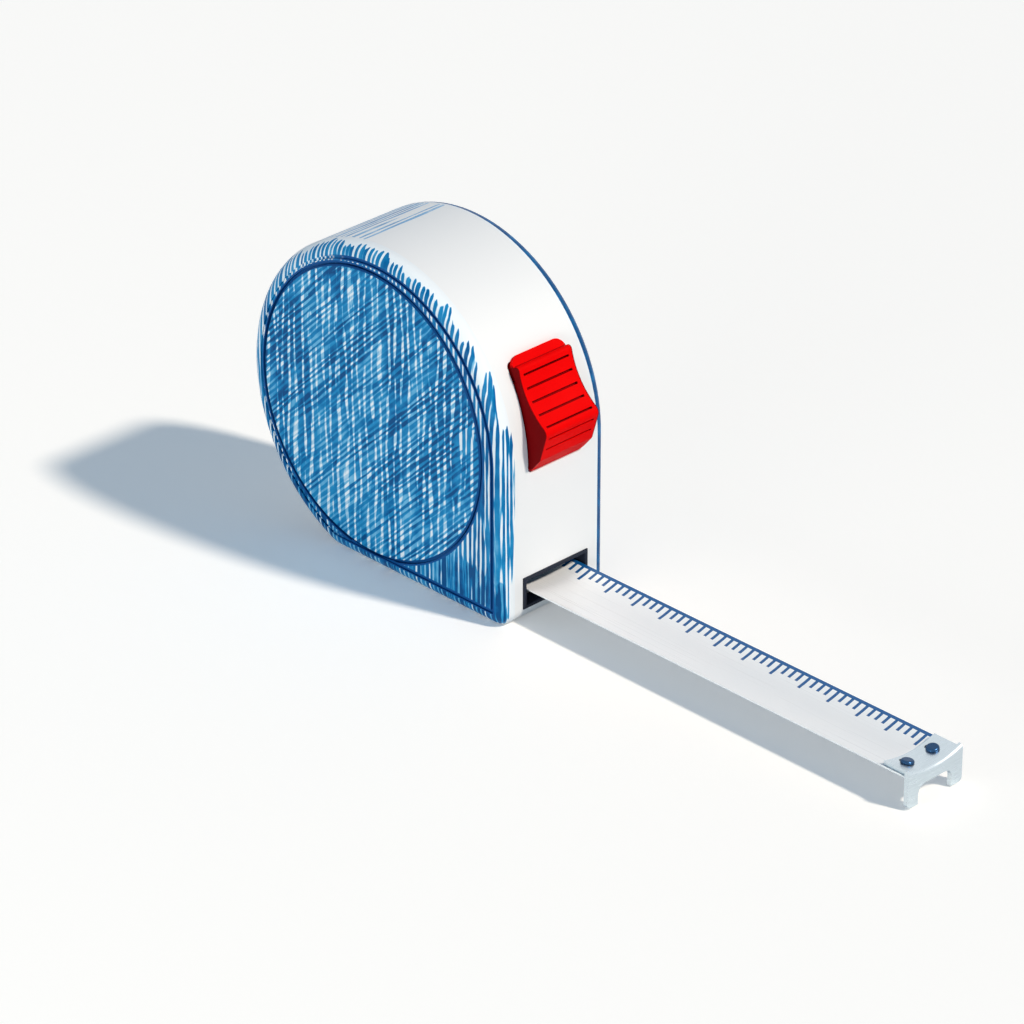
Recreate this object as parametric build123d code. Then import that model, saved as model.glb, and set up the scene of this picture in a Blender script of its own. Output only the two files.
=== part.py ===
"""Pocket tape measure: a round-backed case with a straight front and a flat base, a sprung reel with a
concave steel blade, a sliding thumb lock and a riveted end hook.

Frame: millimetres, +Z up, +X the way the blade comes out, Y across the case. The origin is on the base
plane, at mid width, straight below the reel's axis.
"""

import math
import os

from build123d import *

# Case
case_radius = 31.2  # round back and top, measured from the reel's axis
base_cut = 2.0  # the flat base, in from the foot of that round
wall = 1.8  # thickness of the white band
edge_radius = 2.4  # rounding between a side cover and the band
seam_land = 0.3  # straight rim of a cover beside the seam
front_corner_radius = 2.8  # lower front corner of the case
heel_radius = 6.0  # where the round back meets the base
rim_groove_width = 0.5  # fine groove that sets a side's flat off from its rounded rim
rim_groove_depth = 0.35
rim_groove_inset = 0.1  # from the rounding to that groove
lip_height = 0.9  # rim of a cover that sits inside the band
lip_thickness = 0.9
lip_front_stop = 14.0  # the rim leaves this much free behind the mouth

# Side discs
disc_shift_x = -0.9  # the right-hand disc sits a little behind the reel's axis
disc_shift_z = 0.3  # and a little above it
disc_margin = 0.2  # least flat left beside the disc's groove
disc_thickness = 0.8
disc_recess_depth = 0.7
disc_groove = 0.45  # open groove round the disc
disc_edge_break = 0.25
left_disc_margin = 0.6  # the left-hand disc is smaller, to clear the screw heads

# Blade
blade_width = 13.0
blade_thickness = 0.2
blade_rise = 1.1  # height of the blade's edges over its middle
blade_reach = 85.0  # from the case's front to the hook, as it stands
blade_flat_run = 2.0  # flat stretch beside the coil
blade_curl_run = 12.0  # over which the flat blade takes its concave form
blade_lap = 1.0  # the strip's tail under the coil

# Mouth
mouth_below = 2.2  # slot below the blade
mouth_above = 3.6  # slot above the blade
mouth_side = 1.15  # slot beside the blade
bumper_wall = 0.7
bumper_proud = 0.3
bumper_back = 0.9  # flange of the bumper behind the case wall
bumper_flange = 0.8

# End hook
hook_thickness = 0.9
hook_tongue = 4.8
hook_tongue_inset = 0.5  # narrower than the blade on each side
hook_toe_gap = 0.3  # from the base plane to the hook's toes
hook_float = 0.9  # play of the hook on its rivets
hook_notch_width = 8.0
hook_notch_height = 3.4
hook_notch_radius = 1.6
hook_corner_radius = 0.8
hook_bend_radius = 0.7
rivet_radius = 0.6
rivet_head_radius = 1.15
rivet_head_height = 0.5
rivet_spread = 6.4  # between the two rivets
rivet_setback = 2.5  # behind the hook's plate
rivet_tail_height = 0.4

# Reel
coil_depth = 7.1  # from the drum to the outside of the coil
coil_clear = 0.1  # between the coil and the blade that leaves it
drum_wall = 1.2
flange_thickness = 0.8
flange_margin = 0.7  # reel flange beyond the coil
reel_clear = 0.3  # between the reel's flanges and the screw posts
blade_side_gap = 0.3  # between the coil and a flange
drum_vent_count = 5
drum_vent_radius = 2.0
drum_vent_circle = 9.5

# Post in the middle of the reel
post_radius = 3.2
post_tang_width = 4.2  # across the two flats that stop it turning
post_tang_radius = 2.9
post_seat_depth = 1.2  # into each cover
cover_boss = 1.34  # boss inside each cover that the washer bears on
washer_radius = 6.0
washer_thickness = 0.5

# Return spring, wound inside the drum
spring_turns = 9
spring_thickness = 0.35
spring_side_gap = 0.5
spring_inner_gap = 0.7  # post to first turn
spring_outer_gap = 0.7  # last turn to drum
spring_tab = 1.5  # length of each end tab inside its slot
spring_slot_gap = 0.12

# Thumb lock, which slides round the front of the case
lock_plate_thickness = 1.2
lock_plate_flange = 1.2  # plate beyond the pad on each side
lock_plate_low_deg = -16.0
lock_plate_high_deg = 42.0
lock_pad_width = 12.4
lock_pad_low_deg = -1.7  # foot of the pad, where it meets the case
lock_low_edge_deg = 3.4  # lower edge of the ridged face, from which the pad slopes in to its foot
lock_pad_high_deg = 35.2
lock_band_deg = 32.0  # from here up the pad is a plain low band
lock_hump_deg = 12.4
lock_dip_deg = 20.5
lock_band_proud = 1.0  # plain band above the case
lock_end_proud = 2.5  # ends of the ridged face above the case
lock_dip_proud = 2.0
lock_hump_proud = 5.0
lock_hump_radius = 1.3
lock_corner_radius = 0.9
lock_pad_corner = 2.2  # the pad's upper corners, seen from the front
lock_step_radius = 0.7  # top of the step up from the plain band
lock_window_gap = 0.25
lock_window_corner = 1.0
lock_window_end = 0.6  # free window above the pad at the end of its travel, for those corners
lock_skirt_gap = 0.25  # top of the pad, over the window's free end, above the case
lock_skirt_margin = 0.6  # how far it reaches past that end
lock_travel = 3.0  # along the case's front
lock_groove_width = 0.4
lock_groove_depth = 0.55
lock_groove_margin = 0.9
lock_grooves_above = 5
lock_grooves_below = 2
rail_width = 1.0
rail_lip = 1.0
rail_lip_thickness = 0.6
rail_low_deg = 2.0
rail_high_deg = 47.0

# Brake under the lock
tongue_thickness = 0.9
brake_lever_width = 9.0
tongue_high_deg = -3.0
tongue_low_deg = -15.0
brake_pad_length = 3.4
brake_pad_width = 7.6
brake_pad_setback = 6.9  # pad's front face behind the case's front
brake_foot_height = 1.9  # foot above the blade's middle
brake_gap = 0.06

# Detent leaf behind the lock plate
detent_thickness = 0.3
detent_width = 5.0
detent_low_deg = 35.0
detent_high_deg = 62.0
detent_boss_deg = 52.0

# Case screws, driven from the left cover
screw_radius = 1.0
screw_head_radius = 1.7
screw_head_height = 1.1
screw_head_sink = 0.15  # head below the cover's face
screw_boss_wall = 1.1
screw_boss_gap = 0.1  # boss to band wall
screw_boss_length = 6.0
screw_angles_deg = (85.0, 165.0, 232.0)
screw_tip_gap = 0.8
drive_width = 0.5
drive_depth = 0.5

# Belt clip on the left cover
clip_width = 14.0
clip_thickness = 0.9
clip_root_top = 21.5  # these five heights are from the reel's axis
clip_screw_height = 16.8
clip_root_end = 12.4
clip_tongue_end = -10.2
clip_nose_height = -15.7
clip_belt_gap = 2.6
clip_drop = 4.0  # height of the bend from the root to the tongue
clip_nose_gap = 0.5
clip_flare = 2.0
clip_flare_height = 4.0
clip_bend_radius = 1.4
clip_corner_radius = 4.0
clip_screw_radius = 1.25
clip_screw_head_radius = 2.6
clip_screw_head_height = 1.3
clip_screw_tip_gap = 0.5
clip_boss_radius = 2.6
clip_boss_clear = 0.4  # from the boss behind the clip's screw to the reel
clip_boss_floor = 0.4

# Fits
running_gap = 0.06
seat_gap = 0.04
slide_gap = 0.2

# Worked out from the sizes above
axis_height = case_radius - base_cut
inner_radius = case_radius - wall
flange_inner = blade_width / 2 + blade_side_gap
flange_outer = flange_inner + flange_thickness
seam = flange_outer + washer_thickness + running_gap + cover_boss
half_width = seam + seam_land + edge_radius
case_width = 2 * half_width
screw_boss_radius = screw_radius + screw_boss_wall
screw_circle = inner_radius - screw_boss_radius - screw_boss_gap
flange_radius = screw_circle - screw_boss_radius - reel_clear
coil_radius = flange_radius - flange_margin
drum_radius = coil_radius - coil_depth
drum_inner = drum_radius - drum_wall
bore_radius = post_radius + running_gap
blade_height = axis_height - coil_radius - coil_clear - blade_thickness
hook_x = case_radius + blade_reach
mouth_lip = blade_height - mouth_below
mouth_height = mouth_below + blade_thickness + mouth_above
mouth_width = blade_width + 2 * mouth_side
plate_outer = inner_radius - slide_gap
plate_inner = plate_outer - lock_plate_thickness
lock_plate_width = lock_pad_width + 2 * lock_plate_flange
lock_travel_deg = math.degrees(lock_travel / case_radius)
window_low_deg = lock_pad_low_deg - math.degrees(lock_window_gap / case_radius)
lock_skirt = lock_travel + lock_window_end + lock_skirt_margin
lock_root_deg = lock_pad_high_deg - math.degrees(lock_skirt / case_radius)
window_high_deg = lock_root_deg + lock_travel_deg + math.degrees(lock_window_end / case_radius)
side_flat_inset = edge_radius + rim_groove_inset + rim_groove_width
disc_reach = case_radius - side_flat_inset - disc_margin - disc_groove
disc_radius = disc_reach - math.hypot(disc_shift_x, disc_shift_z)
left_disc_radius = screw_circle - screw_head_radius - left_disc_margin - disc_groove
disc_seat = half_width - disc_recess_depth
disc_face = disc_seat + disc_thickness
screw_head_seat = half_width - screw_head_sink - screw_head_height
clip_screw_z = axis_height + clip_screw_height
clip_boss_low = flange_outer + clip_boss_clear


def slab(sketch, y_low, y_high):
    """A flat outline, drawn as (x, z), given thickness from y_low to y_high."""
    plane = Plane(origin=(0, y_high, 0), x_dir=(1, 0, 0), z_dir=(0, -1, 0))
    return extrude(plane * sketch, amount=y_high - y_low)


def rod(radius, x, z, y_low, y_high):
    """A round bar across the case."""
    return slab(Pos(x, z) * Circle(radius), y_low, y_high)


def polar(radius, angle_deg):
    """A point (x, z) seen from the reel's axis, with 0 degrees straight ahead and 90 straight up."""
    angle = math.radians(angle_deg)
    return (radius * math.cos(angle), axis_height + radius * math.sin(angle))


def sector(r_in, r_out, low_deg, high_deg):
    """A ring sector round the reel's axis."""
    mid_deg = (low_deg + high_deg) / 2
    outline = [
        ThreePointArc(polar(r_out, low_deg), polar(r_out, mid_deg), polar(r_out, high_deg)),
        Line(polar(r_out, high_deg), polar(r_in, high_deg)),
        ThreePointArc(polar(r_in, high_deg), polar(r_in, mid_deg), polar(r_in, low_deg)),
        Line(polar(r_in, low_deg), polar(r_out, low_deg)),
    ]
    return make_face(outline)


def annulus(r_out, r_in):
    """A ring round the reel's axis."""
    return Pos(0, axis_height) * (Circle(r_out) - Circle(r_in))


def case_outline(inset=0.0):
    """The case seen from the side, drawn in by inset all round."""
    radius = case_radius - inset
    rise = axis_height - inset
    heel_x = -math.sqrt(radius**2 - rise**2)
    heel_deg = 180 + math.degrees(math.asin(rise / radius))
    outline = make_face(
        [
            Line((heel_x, inset), (radius, inset)),
            Line((radius, inset), (radius, axis_height)),
            ThreePointArc((radius, axis_height), polar(radius, heel_deg / 2), (heel_x, inset)),
        ]
    )
    lower = outline.vertices().filter_by(lambda v: v.Y < inset + seat_gap).sort_by(Axis.X)
    outline = fillet(lower[1], max(front_corner_radius - inset, seam_land))
    heel = outline.vertices().filter_by(lambda v: v.Y < inset + seat_gap).sort_by(Axis.X)[0]
    return fillet(heel, max(heel_radius - inset, seam_land))


def dish_radius(rise=blade_rise):
    """Radius across the blade that lifts its edges by rise."""
    return (blade_width / 2) ** 2 / (2 * rise) + rise / 2


def blade_curve(y, rise=blade_rise):
    """Height of the concave blade at y above its middle."""
    return dish_radius(rise) - math.sqrt(dish_radius(rise) ** 2 - y**2)


def curved_section(x, width, bottom, top, rise):
    """A dished strip's section at x: bottom and top are heights at mid width, rise is at the blade's edge."""
    half = width / 2
    edge = blade_curve(half, rise)
    outline = [
        ThreePointArc((-half, bottom + edge), (0, bottom), (half, bottom + edge)),
        Line((half, bottom + edge), (half, top + edge)),
        ThreePointArc((half, top + edge), (0, top), (-half, top + edge)),
        Line((-half, top + edge), (-half, bottom + edge)),
    ]
    plane = Plane(origin=(x, 0, 0), x_dir=(0, 1, 0), z_dir=(1, 0, 0))
    return plane * make_face(outline)


def screw_places():
    return [polar(screw_circle, angle) for angle in screw_angles_deg]


def drive_cross(radius, depth, y_face, x, z):
    """A cross recess sunk into a screw head whose face is at y_face, looking along +Y."""
    bar = Rectangle(2 * radius, drive_width) + Rectangle(drive_width, 2 * radius)
    return slab(Pos(x, z) * bar, y_face - depth, y_face + depth)


def make_case_band():
    """The white band round the case, with the mouth, the lock's window and rails, and the screw posts."""
    band = slab(case_outline() - case_outline(wall), -seam, seam)
    rail_out = inner_radius + wall / 2
    rail_side = lock_plate_width / 2 + slide_gap
    lip_high = plate_inner - slide_gap
    for sign in (-1, 1):
        sides = sorted((sign * rail_side, sign * (rail_side + rail_width)))
        band += slab(sector(lip_high - rail_lip_thickness, rail_out, rail_low_deg, rail_high_deg), *sides)
        lips = sorted((sign * (rail_side - rail_lip), sign * rail_side))
        band += slab(sector(lip_high - rail_lip_thickness, lip_high, rail_low_deg, rail_high_deg), *lips)
    boss_in = plate_inner - running_gap
    boss = sector(boss_in, rail_out, detent_boss_deg, detent_high_deg)
    band += slab(boss, -detent_width / 2, detent_width / 2)
    for x, z in screw_places():
        post = rod(screw_boss_radius + 2 * screw_boss_gap, x, z, screw_boss_length + seat_gap - seam, seam)
        band += post
    band &= slab(case_outline(), -seam, seam)
    for x, z in screw_places():
        band -= rod(screw_radius + seat_gap, x, z, -seam, seam)
    window_width = lock_pad_width + 2 * lock_window_gap
    band -= lock_block(window_low_deg, window_high_deg, window_width, lock_window_corner)
    mouth_mid = (case_radius - wall / 2, 0, mouth_lip + mouth_height / 2)
    band -= Pos(*mouth_mid) * Box(2 * wall, mouth_width, mouth_height)
    return band


def lock_block(low_deg, high_deg, width, top_corner):
    """A block through the case's front with rounded corners, for the lock's window and for its pad."""
    ring = sector(plate_inner, case_radius + 2 * lock_hump_proud, low_deg, high_deg)
    block = slab(ring, -width / 2, width / 2)
    block = fillet(radial_edges(block)[:2], lock_window_corner)
    return fillet(radial_edges(block)[-2:], top_corner)


def radial_edges(block):
    """Straight edges that run in towards the reel's axis, the lowest first."""
    straight = block.edges().filter_by(GeomType.LINE)
    return straight.filter_by(lambda e: abs(e.tangent_at(0).Y) < 0.5).sort_by(Axis.Z)


def make_cover(side):
    """A side cover: side is -1 for the right-hand one and 1 for the left-hand one."""
    plate = slab(case_outline(), seam, half_width)
    rim = plate.faces().sort_by(Axis.Y)[-1].edges()
    plate = fillet(rim, edge_radius)
    groove = case_outline(edge_radius + rim_groove_inset) - case_outline(side_flat_inset)
    plate -= slab(groove, half_width - rim_groove_depth, half_width)
    lip_outline = case_outline(wall + slide_gap) - case_outline(wall + slide_gap + lip_thickness)
    lip = slab(lip_outline, seam - lip_height, seam)
    lip -= Pos(case_radius, seam, 0) * Box(2 * lip_front_stop, case_width, 2 * axis_height)
    lip -= slab(sector(drum_radius, case_radius, 0, detent_high_deg + lock_travel_deg), 0, seam)
    for x, z in screw_places():
        lip -= rod(screw_boss_radius + 3 * screw_boss_gap, x, z, 0, seam)
    plate += lip
    plate += rod(washer_radius, 0, axis_height, seam - cover_boss, seam)
    plate -= rod(disc_size(side) + disc_groove, *disc_place(side), disc_seat, half_width)
    plate -= slab(post_tang_outline(seat_gap), 0, seam + post_seat_depth)
    if side < 0:
        for x, z in screw_places():
            plate += rod(screw_boss_radius, x, z, seam - screw_boss_length, seam)
        for x, z in screw_places():
            plate -= rod(screw_radius + seat_gap, x, z, 0, seam + seam_land)
        return mirror(plate, about=Plane.XZ)
    for x, z in screw_places():
        plate -= rod(screw_radius + seat_gap, x, z, 0, half_width)
        plate -= rod(screw_head_radius + seat_gap, x, z, screw_head_seat, half_width)
    plate += rod(clip_boss_radius, 0, clip_screw_z, clip_boss_low, seam)
    hole_low = clip_boss_low + clip_boss_floor
    return plate - rod(clip_screw_radius + seat_gap, 0, clip_screw_z, hole_low, half_width)


def disc_size(side):
    return disc_radius if side < 0 else left_disc_radius


def disc_place(side):
    return (disc_shift_x, axis_height + disc_shift_z) if side < 0 else (0, axis_height)


def post_tang_outline(gap):
    """End of the post: a round with two flats, which keys it to the covers."""
    tang = Circle(post_tang_radius + gap) & Rectangle(post_tang_width + 2 * gap, case_width)
    return Pos(0, axis_height) * tang


def make_side_disc(side):
    """A round plate set into a side cover."""
    disc = rod(disc_size(side), *disc_place(side), disc_seat, disc_face)
    disc = chamfer(disc.faces().sort_by(Axis.Y)[-1].edges(), disc_edge_break)
    if side < 0:
        return mirror(disc, about=Plane.XZ)
    return disc - rod(clip_screw_radius + seat_gap, 0, clip_screw_z, disc_seat, disc_face)


def make_case_screws():
    """Three long screws through the left cover and the band into the right cover."""
    screws = []
    tip = seam_land - seam + screw_tip_gap
    for x, z in screw_places():
        head_top = screw_head_seat + screw_head_height
        screw = rod(screw_radius, x, z, tip, screw_head_seat)
        screw += rod(screw_head_radius, x, z, screw_head_seat, head_top)
        screws.append(screw - drive_cross(screw_head_radius * 0.6, drive_depth, head_top, x, z))
    return Compound(children=screws)


def make_centre_post():
    """The fixed post that the reel turns on, slotted for the inner end of the spring."""
    shoulder = seam - cover_boss
    post = rod(post_radius, 0, axis_height, -shoulder, shoulder)
    post += slab(post_tang_outline(0), -seam - post_seat_depth, seam + post_seat_depth)
    slot_depth = spring_tab + spring_slot_gap
    slot_mid = post_radius - slot_depth / 2 + spring_slot_gap
    slot = Pos(slot_mid, axis_height) * Rectangle(slot_depth + 2 * spring_slot_gap, spring_slot_width())
    return post - slab(slot, -flange_inner, flange_inner)


def spring_slot_width():
    return spring_thickness + 2 * spring_slot_gap


def make_reel_drum():
    """Drum and left flange in one moulding, running on the post."""
    drum = slab(annulus(drum_radius, drum_inner), -flange_inner, flange_inner)
    drum += slab(annulus(flange_radius, bore_radius), flange_inner, flange_outer)
    drum += slab(annulus(bore_radius + drum_wall, bore_radius), flange_inner, flange_outer)
    for i in range(drum_vent_count):
        x, z = polar(drum_vent_circle, 90 + i * 360 / drum_vent_count)
        drum -= rod(drum_vent_radius, x, z, flange_inner, flange_outer)
    end_x, end_z, _ = spring_path_end()
    slot_mid = (end_x + drum_radius) / 2
    slot = Pos(slot_mid, end_z) * Rectangle(drum_radius - end_x + drum_wall, spring_slot_width())
    return drum - slab(slot, -flange_inner, flange_inner - spring_side_gap / 2)


def make_reel_flange():
    """Right flange, pressed against the open side of the drum."""
    flange = slab(annulus(flange_radius, bore_radius), -flange_outer, -flange_inner)
    for i in range(drum_vent_count):
        x, z = polar(drum_vent_circle, 90 + i * 360 / drum_vent_count)
        flange -= rod(drum_vent_radius, x, z, -flange_outer, -flange_inner)
    return flange


def make_thrust_washers():
    """A washer each side of the reel, on the post."""
    low = flange_outer + running_gap / 2
    washer = slab(annulus(washer_radius, bore_radius), low, low + washer_thickness)
    return Compound(children=[washer, mirror(washer, about=Plane.XZ)])


def spring_pitch():
    first = post_radius + spring_inner_gap + spring_thickness / 2
    last = drum_inner - spring_outer_gap - spring_thickness / 2
    return first, (last - first) / spring_turns


def spring_path_end():
    """Outer end of the spring: x, z and the radius of its last half turn."""
    first, pitch = spring_pitch()
    return first + pitch * spring_turns, axis_height, first + pitch * (spring_turns - 0.5)


def make_return_spring():
    """Flat steel ribbon wound in half-turn arcs of growing radius, with a tab at each end."""
    first, pitch = spring_pitch()
    outer, inner = [], []
    for half_turn in range(2 * spring_turns):
        radius = first + half_turn * pitch / 2
        centre = (0 if half_turn % 2 == 0 else pitch / 2, axis_height)
        start = 0 if half_turn % 2 == 0 else 180
        outer.append(CenterArc(centre, radius + spring_thickness / 2, start, 180))
        inner.append(CenterArc(centre, radius - spring_thickness / 2, start, 180))
    edges = [
        *outer,
        Line(outer[-1] @ 1, inner[-1] @ 1),
        *inner,
        Line(inner[0] @ 0, outer[0] @ 0),
    ]
    ribbon = make_face(edges)
    inner_tab = post_radius - spring_tab
    tab_end = first + spring_thickness / 2
    ribbon += Pos((inner_tab + tab_end) / 2, axis_height) * Rectangle(tab_end - inner_tab, spring_thickness)
    end_x, end_z, _ = spring_path_end()
    outer_start = end_x - spring_thickness / 2
    outer_tab = drum_inner + drum_wall / 2
    ribbon += Pos((outer_start + outer_tab) / 2, end_z) * Rectangle(outer_tab - outer_start, spring_thickness)
    gaps = [
        math.dist(tuple(a @ u)[:2], tuple(b @ u)[:2]) - spring_thickness
        for a, b in zip(outer[:-2], outer[2:])
        for u in (0, 0.25, 0.5, 0.75, 1)
    ]
    print("return spring: least gap between turns", round(min(gaps), 2), "mm")
    reach = flange_inner - spring_side_gap
    return slab(ribbon, -reach, reach)


def make_blade_coil():
    """The wound part of the blade: a tight coil on the drum, its last turn stepping down to the one below."""
    core = coil_radius - blade_thickness
    coil = annulus(core, drum_radius + seat_gap)
    last_turn = sector(core - blade_thickness, coil_radius, -88, 200)
    return slab(coil + last_turn, -blade_width / 2, blade_width / 2)


def make_blade_strip():
    """The drawn-out part of the blade: flat at the coil, dished from there to its end."""
    bottom, top = blade_height, blade_height + blade_thickness
    curl_end = blade_flat_run + blade_curl_run
    flat_near = curved_section(blade_flat_run, blade_width, bottom, top, blade_rise / 1000)
    flat_far = curved_section(-blade_lap, blade_width, bottom, top, blade_rise / 1000)
    dished = curved_section(curl_end, blade_width, bottom, top, blade_rise)
    strip = loft([flat_far, flat_near], ruled=True)
    strip += loft([flat_near, dished], ruled=True)
    strip += extrude(dished, amount=hook_x - curl_end - seat_gap, dir=(1, 0, 0))
    for hole in rivet_bars(rivet_radius + seat_gap, -blade_rise, 2 * blade_rise):
        strip -= hole
    return strip


def rivet_bars(radius, low, high):
    """Two upright bars at the rivets, square to the dished blade, from low to high over its underside."""
    bars = []
    slope = math.degrees(math.asin(rivet_spread / 2 / dish_radius()))
    for sign in (-1, 1):
        y = sign * rivet_spread / 2
        place = Pos(hook_x - rivet_setback, y, blade_height + blade_curve(y)) * Rot(sign * slope, 0, 0)
        bars.append(place * Pos(0, 0, low) * extrude(Circle(radius), amount=high - low))
    return bars


def make_end_hook():
    """Bent steel hook: a dished tongue on the blade and a notched plate hanging down to the base plane."""
    bottom = blade_height + blade_thickness + seat_gap
    top = bottom + hook_thickness
    tongue_width = blade_width - 2 * hook_tongue_inset
    tongue_section = curved_section(hook_x - hook_tongue, tongue_width, bottom, top, blade_rise)
    tongue = extrude(tongue_section, amount=hook_tongue, dir=(1, 0, 0))
    half = blade_width / 2
    edge = blade_curve(half)
    outline = make_face(
        [
            Line((-half, hook_toe_gap), (half, hook_toe_gap)),
            Line((half, hook_toe_gap), (half, top + edge)),
            ThreePointArc((half, top + edge), (0, top), (-half, top + edge)),
            Line((-half, top + edge), (-half, hook_toe_gap)),
        ]
    )
    toes = outline.vertices().group_by(Axis.Y)[0]
    outline = fillet(toes, hook_corner_radius)
    notch = RectangleRounded(hook_notch_width, 2 * hook_notch_height, hook_notch_radius)
    notch = Pos(0, hook_toe_gap) * notch
    toe_plane = Plane(origin=(hook_x, 0, 0), x_dir=(0, 1, 0), z_dir=(1, 0, 0))
    hook = extrude(toe_plane * (outline - notch), amount=hook_thickness) + tongue
    front = hook.edges().group_by(Axis.X)[-1].filter_by(GeomType.CIRCLE)
    hook = fillet(front.sort_by(Axis.Z)[-1], hook_bend_radius)
    for slot in rivet_bars(rivet_radius + seat_gap, 0, 2 * blade_rise):
        hook -= slot
        hook -= Pos(-hook_float / 2, 0, 0) * slot
        hook -= Pos(-hook_float, 0, 0) * slot
    return hook


def make_hook_rivets():
    """Two rivets fixed in the blade, with room in the hook for its play."""
    head_low = blade_thickness + hook_thickness + 3 * seat_gap
    parts = []
    shanks = rivet_bars(rivet_radius, -rivet_tail_height, head_low + seat_gap)
    heads = rivet_bars(rivet_head_radius, head_low, head_low + rivet_head_height)
    tails = rivet_bars(rivet_head_radius, -rivet_tail_height - seat_gap, -2 * seat_gap)
    for shank, head, tail in zip(shanks, heads, tails):
        crown = fillet(head.edges().sort_by(Axis.Z)[-1], rivet_head_height * 0.8)
        parts.append(shank + crown + tail)
    return Compound(children=parts)


def make_mouth_bumper():
    """Rubber frame in the mouth, which the hook comes to rest on."""
    mid_z = mouth_lip + mouth_height / 2
    back = case_radius - wall - bumper_back
    length = case_radius + bumper_proud - back
    outside = Box(length, mouth_width - 2 * seat_gap, mouth_height - 2 * seat_gap)
    frame = Pos(back + length / 2, 0, mid_z) * outside
    flange_z = mouth_lip + mouth_height + bumper_flange / 2
    lug = Pos(back + bumper_back / 2, 0, flange_z) * Box(
        bumper_back - seat_gap, mouth_width, bumper_flange + 2 * bumper_wall
    )
    frame += lug
    inside = Box(2 * length, mouth_width - 2 * bumper_wall, mouth_height - 2 * bumper_wall)
    frame -= Pos(back + length / 2, 0, mid_z) * inside
    front = frame.edges().group_by(Axis.X)[-1]
    return fillet(front, bumper_proud * 0.6)


def lock_profile():
    """Outline of the thumb pad from the side, with its dished face and its lower slope as separate edges."""
    high = case_radius + lock_end_proud
    band = case_radius + lock_band_proud
    under = case_radius + lock_skirt_gap
    root = (plate_inner + plate_outer) / 2
    step_out = polar(high, lock_band_deg)
    low_out = polar(high, lock_low_edge_deg)
    foot = polar(case_radius, lock_pad_low_deg)
    hump = polar(case_radius + lock_hump_proud, lock_hump_deg)
    dip = polar(case_radius + lock_dip_proud, lock_dip_deg)
    band_mid = (lock_band_deg + lock_pad_high_deg) / 2
    skirt_mid = (lock_root_deg + lock_pad_high_deg) / 2
    root_mid = (lock_pad_low_deg + lock_root_deg) / 2
    face = ThreePointArc(hump, dip, step_out)
    slope = Line(low_out, hump)
    edges = [
        face,
        Line(step_out, polar(band, lock_band_deg)),
        ThreePointArc(polar(band, lock_band_deg), polar(band, band_mid), polar(band, lock_pad_high_deg)),
        Line(polar(band, lock_pad_high_deg), polar(under, lock_pad_high_deg)),
        ThreePointArc(polar(under, lock_pad_high_deg), polar(under, skirt_mid), polar(under, lock_root_deg)),
        Line(polar(under, lock_root_deg), polar(root, lock_root_deg)),
        ThreePointArc(polar(root, lock_root_deg), polar(root, root_mid), polar(root, lock_pad_low_deg)),
        Line(polar(root, lock_pad_low_deg), foot),
        Line(foot, low_out),
        slope,
    ]
    return make_face(edges), face, slope, (hump, step_out), low_out


def make_lock_button():
    """Red thumb lock: a curved plate behind the case's front, and a ridged pad that stands out of it."""
    plate = sector(plate_inner, plate_outer, lock_plate_low_deg, lock_plate_high_deg)
    button = slab(plate, -lock_plate_width / 2, lock_plate_width / 2)
    outline, face, slope, crests, low_edge = lock_profile()
    for crest, radius in zip(crests, (lock_hump_radius, lock_step_radius)):
        tip = outline.vertices().sort_by_distance((*crest, 0))[0]
        outline = fillet(tip, radius)
    pad = slab(outline, -lock_pad_width / 2, lock_pad_width / 2)
    outside = pad.edges().filter_by(GeomType.LINE).filter_by(Axis.Y)
    lowest = outside.sort_by_distance((low_edge[0], 0, low_edge[1]))[0]
    pad = fillet(lowest, lock_corner_radius)
    groove_half = lock_pad_width / 2 - lock_groove_margin
    places = [(face, (i + 0.45) / (lock_grooves_above + 0.2)) for i in range(lock_grooves_above)]
    places += [(slope, (i + 1) / (lock_grooves_below + 0.7)) for i in range(lock_grooves_below)]
    for line, share in places:
        point, along = line @ share, line % share
        tilt = math.degrees(math.atan2(along.Y, along.X))
        groove = Pos(point.X, point.Y) * Rot(0, 0, tilt) * Rectangle(lock_groove_width, 2 * lock_groove_depth)
        pad -= slab(groove, -groove_half, groove_half)
    shape = lock_block(lock_pad_low_deg, lock_pad_high_deg, lock_pad_width, lock_pad_corner)
    return button + (pad & shape)


def make_brake_tongue():
    """Lever from the lock plate down to the blade, with a flat foot for the brake pad."""
    outer = plate_inner - seat_gap
    grip = slab(sector(outer - tongue_thickness, outer, tongue_low_deg, tongue_high_deg), *tongue_sides())
    knee_out = polar(outer, tongue_low_deg)
    knee_in = polar(outer - tongue_thickness, tongue_low_deg)
    foot_front = case_radius - brake_pad_setback
    foot_low = blade_height + blade_thickness + brake_foot_height
    foot_high = foot_low + tongue_thickness
    leg = make_face(
        Polyline(
            knee_in,
            knee_out,
            (foot_front, foot_high),
            (foot_front, foot_low),
            (foot_front - brake_pad_length, foot_low),
            (foot_front - brake_pad_length, foot_high),
            (foot_front - tongue_thickness, foot_high),
            close=True,
        )
    )
    return grip + slab(leg, *tongue_sides())


def tongue_sides():
    return -brake_lever_width / 2, brake_lever_width / 2


def make_brake_pad():
    """Rubber pad under the foot, shaped to the dished blade."""
    foot_low = blade_height + blade_thickness + brake_foot_height
    front = case_radius - brake_pad_setback
    low = blade_height + blade_thickness + brake_gap
    high = low + 2 * brake_foot_height
    section = curved_section(front - brake_pad_length, brake_pad_width, low, high, blade_rise)
    pad = extrude(section, amount=brake_pad_length, dir=(1, 0, 0))
    return pad & Pos(front, 0, foot_low - brake_foot_height) * Box(
        2 * brake_pad_length, brake_pad_width, 2 * brake_foot_height
    )


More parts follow.
